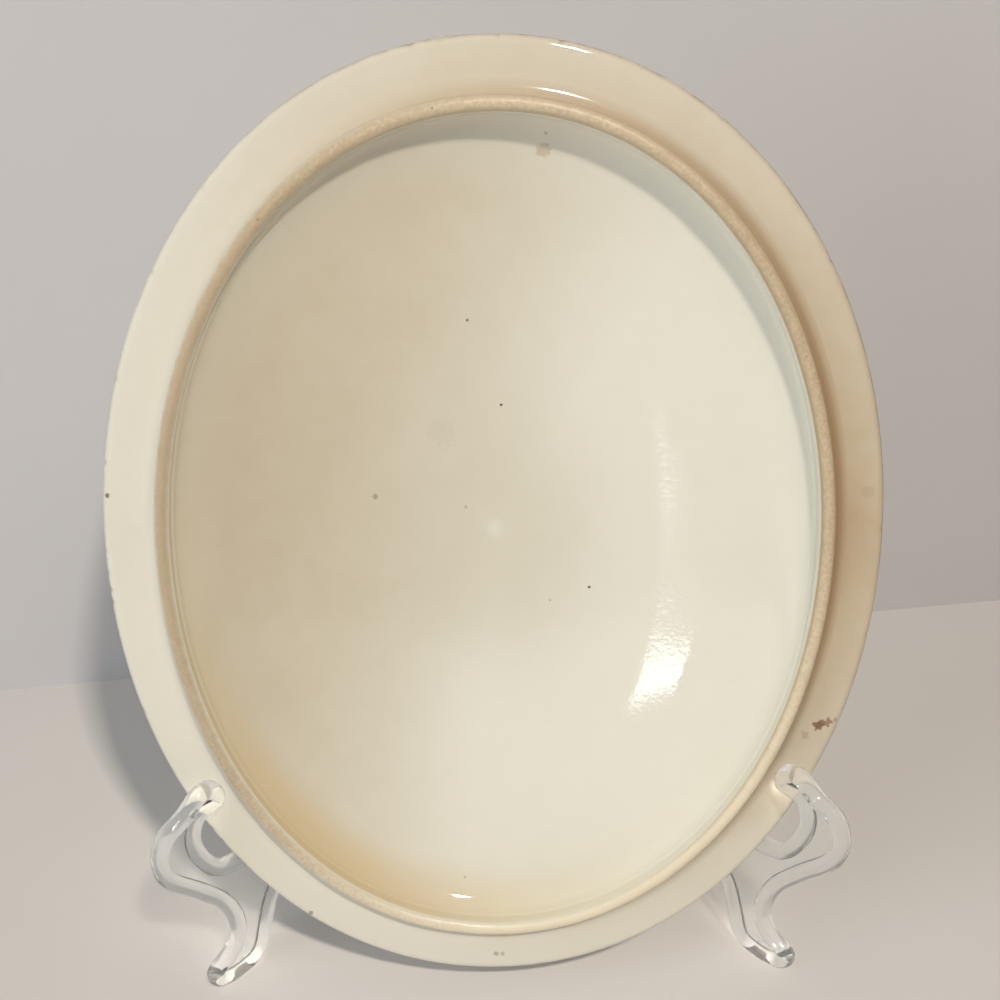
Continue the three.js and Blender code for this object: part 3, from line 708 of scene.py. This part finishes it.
# A shell-shaped pad on the dome: its outline is an oval with five round lobes, and its height a half
# dome with a furrow between each two of them.
def makeTerminal(name, side):
    share = np.sin(np.linspace(0, np.pi / 2, handle["padRows"]))[1:, None]
    turn = np.linspace(0, 2 * np.pi, handle["padSides"], endpoint=False)[None]
    petal = np.abs(np.cos(handle["lobes"] / 2 * (turn - side * np.pi / 2)))
    lobes = 1 - handle["lobeDepth"] + handle["lobeDepth"] * petal
    middle = side * handle["span"] / 2
    x = handle["padWidth"] / 2 * share * lobes * np.cos(turn) * handle["trim"][0]
    along = middle + handle["padLength"] / 2 * share * lobes * np.sin(turn) * handle["trim"][1]
    bulge = np.sqrt(np.clip(1 - share ** 2, 0, 1))
    veins = handle["furrow"] * (petal - handle["furrowStart"]) * share
    height = -outsideDepth(x, along) - handle["padHeight"] * bulge * (1 + veins) + handle["sink"]
    grid = np.stack(np.broadcast_arrays(x, along, height), axis=-1)
    depth = float(outsideDepth(0.0, middle))
    summit = -depth - handle["padHeight"] + handle["sink"]
    points, faces = closedGrid(grid, [[0, middle, summit], [0, middle, -depth + handle["root"]]])
    return newObject(name, coverToRow(points), faces, sharp=60)


dress(makeShell(), "cover", "cream_glaze", stainedGlaze, "cover_shell")
dress(makeCollar(), "cover", "bare_clay", collarFinish, "locating_collar")
dress(makeHandle(), "cover", "cream_glaze", plainGlaze, "cover_handle")
dress(makeTerminal("handleTerminalUpper", 1), "cover", "cream_glaze", plainGlaze, "handle_terminal_upper")
dress(makeTerminal("handleTerminalLower", -1), "cover", "cream_glaze", plainGlaze, "handle_terminal_lower")


hinge = dict(
    pinRadius=2.0, clearance=0.2, knuckleWall=2.6, knuckleEdge=0.4, gap=0.5, base=12.0, length=66.0,
    middleShare=0.4, boreSpan=(-5, 100), bridgeStart=0.5, bridgePast=4, seatGap=0.3,
    headRadius=3.8, headRim=0.8, headDome=1.6, tail=3.0, tailEdge=0.4,
    capHeight=4.0, capBase=3.2, capEdge=0.6, capLip=0.3, capFloor=0.7,
)
leaf = dict(
    rim=(-10.32, 53.37), hookRise=31.4, cradleDrop=2.6, hookReach=1.2, hookGap=2.9,
    restLow=(-43.38, 73.97), restTop=(-65.23, 111.97), postAbove=7.0, archShare=0.67,
    rearFoot=28.5, heel=21.4, flat=0.6, spacing=1.0, sides=20, sharp=38,
    outlineEase=3, beadEase=2, nearShare=0.985,
)
leafReach = stand["toeSpacing"] / 2 / math.sin(splay)
boreRadius = hinge["pinRadius"] + hinge["clearance"]
knuckleRadius = boreRadius + hinge["knuckleWall"]
hingeTop = hinge["base"] + hinge["length"]


# The side view of a leaf, by distance from its toe and height, as stretches of spline and straight edges.
def leafOutline():
    rim, height = leaf["rim"]
    top, seat = height + leaf["hookRise"], height - leaf["cradleDrop"]
    arch = leaf["archShare"] * seat
    low, high = np.array(leaf["restLow"]), np.array(leaf["restTop"])
    post = knuckleRadius + hinge["seatGap"] - leafReach
    postTop = hingeTop + leaf["postAbove"]
    foot, heel, flat = leaf["rearFoot"], leaf["heel"], -leaf["flat"]

    def stretch(pairs, place):
        return [place(a, b) for a, b in pairs]

    front = stretch([
        (0.073, 0.078), (0.058, 0.125), (0.011, 0.146), (-0.026, 0.177), (-0.043, 0.229), (-0.023, 0.312),
        (0.02, 0.4), (0.071, 0.463), (0.131, 0.534), (0.19, 0.596), (0.237, 0.649), (0.273, 0.713),
        (0.29, 0.79), (0.278, 0.866), (0.243, 0.913), (0.198, 0.93), (0.169, 0.941), (0.144, 0.967),
        (0.111, 0.993), (0.072, 1), (0.023, 0.986),
    ], lambda s, z: (s * top + z * rim, z * top))
    hook = stretch([
        (-0.035, 0.153), (-0.073, 0.268), (-0.016, 0.37), (leaf["hookGap"] / leaf["hookRise"], 0.376),
        (0.197, 0.363), (0.264, 0.471), (0.274, 0.631), (0.21, 0.841), (0.096, 1.04), (-0.054, 1.096),
    ], lambda s, z: (rim + leaf["hookReach"] + s * leaf["hookRise"], top - z * leaf["hookRise"]))
    saddle = stretch([(0.2, -0.026), (0.38, 0.004), (0.57, 0.05), (0.76, 0.16), (0.91, 0.5)],
                     lambda s, z: (rim + (low[0] - rim) * s, seat + (low[1] - seat) * z))
    horn = stretch([
        (0.03, 1.13), (0.105, 1.21), (0.19, 1.11), (0.25, 0.8), (0.35, 0.36), (0.6, 0.1), (0.84, 0),
        (1, -0.19),
    ], lambda s, z: (high[0] + (post - high[0]) * s, postTop + (high[1] - postTop) * z))
    rear = [(post + 0.07 * foot, 0.028 * foot), (post + 0.28 * foot, flat), (post + 0.56 * foot, flat),
            (post + 0.81 * foot, 0.028 * foot), (post + foot, 0.23 * foot)]
    archway = stretch([(0.09, 0.5), (0.24, 0.84), (0.45, 1), (0.7, 0.98), (0.86, 0.87), (0.95, 0.69)],
                      lambda s, z: (post + foot + (-heel - post - foot) * s, z * arch))
    toe = [(-heel, 0.654 * heel), (-0.86 * heel, 0.215 * heel), (-0.673 * heel, 0.019 * heel),
           (-0.444 * heel, flat), (-0.14 * heel, flat), (0.14 * heel, 0.075 * heel)]
    return np.concatenate([
        splineThrough([toe[-1], *front, *hook, *saddle, tuple(low)], 6),
        splineThrough([tuple(high), *horn], 6),
        splineThrough([(post, 0.22 * foot), *rear, *archway, *toe], 6)[:-1],
    ])


# A closed line walked at an even pace.
def evenly(points):
    closed = np.concatenate([points, points[:1]])
    lengths = np.concatenate([[0], np.cumsum(np.linalg.norm(np.diff(closed, axis=0), axis=1))])
    count = max(8, int(lengths[-1] / leaf["spacing"]))
    at = np.linspace(0, lengths[-1], count, endpoint=False)
    return np.stack([np.interp(at, lengths, closed[:, k]) for k in (0, 1)], axis=-1)


# Each point moves, as many times as asked, to the mean of its neighbours and itself counted twice.
def eased(points, times):
    for _ in range(times):
        points = (np.roll(points, 1, axis=0) + 2 * points + np.roll(points, -1, axis=0)) / 4
    return points


# Unit normals that point out of a closed line.
def outwardOf(points):
    along = np.roll(points, -1, axis=0) - np.roll(points, 1, axis=0)
    along /= np.linalg.norm(along, axis=1, keepdims=True)
    return np.stack([along[:, 1], -along[:, 0]], axis=-1)


# A closed line moved inwards along its normals, without the points that come too near its edge.
def drawnIn(points, distance):
    moved = points - distance * outwardOf(points)
    nearest = np.linalg.norm(moved[:, None] - points[None], axis=-1).min(axis=1)
    return moved[nearest > leaf["nearShare"] * distance]


# A leaf's own frame (out along the leaf from the hinge, through it, up) to the row frame, in metres.
def leafToRow(points, side):
    out, through, up = points[..., 0], points[..., 1], points[..., 2]
    x = side * (out * math.sin(splay)) + through * math.cos(splay)
    y = hingeY - out * math.cos(splay) + side * through * math.sin(splay)
    return np.stack([x, y, up], axis=-1) / perMetre


# Moves a piece's vertices to where a function of their array puts them.
def movePoints(piece, place):
    points = np.zeros(len(piece.data.vertices) * 3)
    piece.data.vertices.foreach_get("co", points)
    piece.data.vertices.foreach_set("co", place(points.reshape(-1, 3)).ravel())


# A closed outline in the leaf's plane, made into a plate of twice the half thickness.
def prism(name, outline, half):
    count = len(outline)
    low = np.stack([outline[:, 0], np.full(count, -half), outline[:, 1]], axis=-1)
    high = low + [0, 2 * half, 0]
    ring = np.arange(count)
    after = np.roll(ring, -1)
    sides = np.stack([ring, ring + count, after + count, after], axis=-1).tolist()
    ends = [ring.tolist(), (ring[::-1] + count).tolist()]
    return newObject(name, np.concatenate([low, high]), ends + sides)


# A profile of radius and height turned about the upright axis; it starts and ends on the axis.
def lathe(name, profile, sides=48):
    profile = np.asarray(profile, float)
    turn = np.linspace(0, 2 * np.pi, sides, endpoint=False)
    ring = profile[1:-1]
    radius, heights = ring[:, :1], ring[:, 1:]
    grid = np.stack([radius * np.cos(turn), radius * np.sin(turn), heights + 0 * turn], axis=-1)
    return newObject(name, *closedGrid(grid, [[0, 0, profile[0, 1]], [0, 0, profile[-1, 1]]]))


# Applies a boolean to a piece's mesh and drops the other one.
def combine(base, other, operation):
    step = base.modifiers.new("step", "BOOLEAN")
    step.operation, step.solver, step.object = operation, "MANIFOLD", other
    evaluated = base.evaluated_get(bpy.context.evaluated_depsgraph_get())
    shaped = bpy.data.meshes.new_from_object(evaluated)
    base.modifiers.clear()
    base.data = shaped
    bpy.data.objects.remove(other)


# A thin web inside a round bead: the bead is a circle carried along the outline drawn in by its radius.
# Knuckles, each between two heights, are bridged to it and bored for the pin.
def makeLeaf(name, side, knuckles):
    radius = stand["bead"] / 2
    outline = eased(evenly(leafOutline()), leaf["outlineEase"])
    line = eased(evenly(drawnIn(outline, radius)), leaf["beadEase"])
    line[:, 0] += leafReach
    outward = outwardOf(line)
    turn = np.linspace(0, 2 * np.pi, leaf["sides"], endpoint=False)
    reach, through = radius * np.cos(turn), radius * np.sin(turn)
    bead = np.stack([line[:, :1] + outward[:, :1] * reach, 0 * line[:, :1] + through,
                     line[:, 1:] + outward[:, 1:] * reach], axis=-1)
    piece = newObject(name, bead, gridFaces(len(line), leaf["sides"], loopRows=True))
    combine(piece, prism("web", line, stand["web"] / 2), "UNION")
    start, end = hinge["bridgeStart"], knuckleRadius + hinge["bridgePast"]
    wide, narrow = knuckleRadius, knuckleRadius - hinge["knuckleEdge"]
    for low, high in knuckles:
        bridge = np.array([[start, low], [end, low], [end, high], [start, high]])
        combine(piece, prism("bridge", bridge, stand["web"]), "UNION")
        barrel = [(0, low), (narrow, low), (wide, low + hinge["knuckleEdge"]),
                  (wide, high - hinge["knuckleEdge"]), (narrow, high), (0, high)]
        combine(piece, lathe("knuckle", barrel), "UNION")
    below, above = hinge["boreSpan"]
    bore = [(0, below), (boreRadius, below), (boreRadius, above), (0, above)]
    combine(piece, lathe("bore", bore), "DIFFERENCE")

    def placed(points):
        points = leafToRow(points, side)
        points[:, 2] = np.maximum(points[:, 2], 0)
        points[:, 1] = np.minimum(points[:, 1], cadHigh.y - 1e-5)   # knuckles stay inside the CAD box
        return points

    movePoints(piece, placed)
    piece.data.shade_smooth()
    piece.data.set_sharp_from_angle(angle=math.radians(leaf["sharp"]))
    return piece


middleLow = hinge["base"] + hinge["length"] * (1 - hinge["middleShare"]) / 2
middleHigh = middleLow + hinge["length"] * hinge["middleShare"]
outerKnuckles = [(hinge["base"], middleLow - hinge["gap"]), (middleHigh + hinge["gap"], hingeTop)]
leftLeaf = makeLeaf("leafLeft", -1, outerKnuckles)
rightLeaf = makeLeaf("leafRight", 1, [(middleLow, middleHigh)])


# A round rod with a domed head, about the hinge axis.
def makePin():
    radius, head, edge = hinge["pinRadius"], hinge["headRadius"], hinge["tailEdge"]
    foot = hinge["base"] - hinge["seatGap"] - hinge["tail"]
    seat = hingeTop + hinge["seatGap"]
    rim = seat + hinge["headRim"]
    profile = [(0, foot), (radius - edge, foot), (radius, foot + edge),
               (radius, seat), (head, seat), (head, rim)]
    profile += [(head * math.cos(a), rim + hinge["headDome"] * math.sin(a))
                for a in np.radians(np.linspace(0, 90, 8))]
    return lathe("pin", profile)


# A cup pushed on the rod's foot, open at its top.
def makeCap():
    high = hinge["base"] - hinge["seatGap"]
    low = high - hinge["capHeight"]
    radius, edge, floor = hinge["headRadius"], hinge["capLip"], low + hinge["capFloor"]
    profile = [(0, low), (hinge["capBase"], low), (radius, low + hinge["capEdge"]), (radius, high - edge),
               (radius - edge, high), (boreRadius, high), (boreRadius, floor), (0, floor)]
    return lathe("pinCap", profile)


for piece, node in ((makePin(), "hinge_pin"), (makeCap(), "hinge_pin_cap")):
    movePoints(piece, lambda points: (points + [0, hingeY, 0]) / perMetre)
    dress(piece, "stand_left", "clear_plastic", clearPlastic, node)
dress(leftLeaf, "stand_left", "clear_plastic", clearPlastic, "stand_leaf_left")
dress(rightLeaf, "stand_right", "clear_plastic", clearPlastic, "stand_leaf_right")
print("stand made")


# places and sizes of the studio are in metres
studio = dict(
    floor=(0.71, 0.68, 0.66), wall=(0.615, 0.605, 0.62), cloud=0.04, roughness=0.9, floorReach=3,
    foldLeft=(-0.202, 0.1074), foldRight=(0.232, 0.1524), wallPast=1.6, wallHeight=1.4,
    sky=(1.0, 0.985, 0.97, 1.0), background=0.62, ambient=0.08,
)


# A matt backdrop. Where ghost is set it shows only to the eye, from its front, and stops no light.
def sheetMaterial(name, colour, ghost):
    material, tree, shader = newMaterial(name)
    point = addNode(tree, "ShaderNodeTexCoord").outputs["Object"]
    low, high = (tuple(share * v for v in colour) for share in (1 - studio["cloud"], 1 + studio["cloud"]))
    tone = mixColour(tree, noiseNode(tree, point, 9.0, 3.0), low, high)
    fillInputs(tree, shader, {"Base Color": tone, "Roughness": studio["roughness"]})
    if ghost:
        back = tree.nodes.new("ShaderNodeNewGeometry").outputs["Backfacing"]
        shown = mathNode(tree, "MULTIPLY", eyeRay(tree), mathNode(tree, "SUBTRACT", 1.0, back))
        mixSurface(tree, shown, tree.nodes.new("ShaderNodeBsdfTransparent").outputs[0], shader.outputs[0])
    return material


def sheetObject(name, points, material):
    sheet = newObject(name, points, [[0, 1, 2, 3]])
    sheet.data.materials.append(material)


left, right = np.array(studio["foldLeft"]), np.array(studio["foldRight"])
run = (right - left) / np.linalg.norm(right - left)
left, right = left - studio["wallPast"] * run, right + studio["wallPast"] * run
reach, height = studio["floorReach"], studio["wallHeight"]
sheetObject("floor", [(-reach, -reach, 0), (reach, -reach, 0), (reach, reach, 0), (-reach, reach, 0)],
            sheetMaterial("floorSheet", studio["floor"], False))
sheetObject("backdrop", [(*left, 0), (*right, 0), (*right, height), (*left, height)],
            sheetMaterial("backSheet", studio["wall"], True))


# Puts an object, new to the scene, at a place with its own axes along the three directions.
def placeAt(thing, across, up, back, place):
    rows = [[across[k], up[k], back[k], place[k]] for k in range(3)]
    thing.matrix_world = Matrix(rows + [[0, 0, 0, 1]])
    bpy.context.scene.collection.objects.link(thing)


# lamps stand round the cover's middle, at an azimuth from the front to the right; angles are in degrees
lamps = {
    "key": dict(azimuth=19.5, elevation=52, distance=1.5, size=(0.10, 0.08), power=14.6,
                colour=(1.0, 0.91, 0.79)),
    "window": dict(azimuth=-6.57, elevation=-2.59, distance=1.0, size=(0.076, 0.018), power=0.038, tilt=-10,
                   colour=(0.95, 0.98, 1.0)),
    "side": dict(azimuth=-60, elevation=20, distance=1.3, size=(0.9, 0.8), power=7.4, hidden=True,
                 colour=(0.88, 0.95, 1.0)),
    "overhead": dict(azimuth=-60, elevation=80, distance=1.7, size=(1.3, 1.3), power=2.2, hidden=True,
                     colour=(1.0, 0.98, 0.95)),
    "rear": dict(azimuth=165, elevation=12, distance=1.4, size=(1.0, 0.6), power=5.0, hidden=True,
                 colour=(1.0, 0.97, 0.93)),
}
target = np.array([0, coverY, coverZ]) / perMetre


# A lamp turned to the cover's middle; a hidden one lights the scene without a mirror image.
def addLamp(name, lamp):
    light = bpy.data.lights.new(name, "AREA")
    light.shape = "RECTANGLE"
    light.size, light.size_y = lamp["size"]
    light.energy, light.color = lamp["power"], lamp["colour"]
    placed = bpy.data.objects.new(name, light)
    placed.visible_camera = False
    placed.visible_glossy = placed.visible_transmission = not lamp.get("hidden", False)
    azimuth, elevation = math.radians(lamp["azimuth"]), math.radians(lamp["elevation"])
    away = np.array([math.sin(azimuth) * math.cos(elevation), -math.cos(azimuth) * math.cos(elevation),
                     math.sin(elevation)])
    across = np.cross([0, 0, 1], away)
    across /= np.linalg.norm(across)
    up = np.cross(away, across)
    tilt = math.radians(lamp.get("tilt", 0))
    tiltedAcross = across * math.cos(tilt) + up * math.sin(tilt)
    tiltedUp = up * math.cos(tilt) - across * math.sin(tilt)
    placeAt(placed, tiltedAcross, tiltedUp, away, target + away * lamp["distance"])


for name, lamp in lamps.items():
    addLamp(name, lamp)

world = bpy.data.worlds.new("studio")
world.use_nodes = True
bpy.context.scene.world = world
sky = world.node_tree
strength = addNode(sky, "ShaderNodeMapRange", {"Value": eyeRay(sky), "To Min": studio["ambient"],
                   "To Max": studio["background"]})
fillInputs(sky, sky.nodes["Background"], {"Color": studio["sky"], "Strength": strength.outputs[0]})

view = dict(place=(-0.0102, -0.3309, 0.3632), yaw=1.97, pitch=32.15, roll=-0.22, lens=48.6, sensor=36)
yaw, pitch, roll = (math.radians(view[key]) for key in ("yaw", "pitch", "roll"))
ahead = np.array([math.sin(yaw) * math.cos(pitch), math.cos(yaw) * math.cos(pitch), -math.sin(pitch)])
level = np.array([math.cos(yaw), -math.sin(yaw), 0])
sideways = level * math.cos(roll) + np.cross(level, ahead) * math.sin(roll)
camera = bpy.data.objects.new("camera", bpy.data.cameras.new("camera"))
camera.data.lens = view["lens"]
camera.data.sensor_width = view["sensor"]
placeAt(camera, sideways, np.cross(sideways, ahead), -ahead, view["place"])
bpy.context.scene.camera = camera
bpy.context.scene.view_settings.view_transform = "Standard"

print("scene ready")
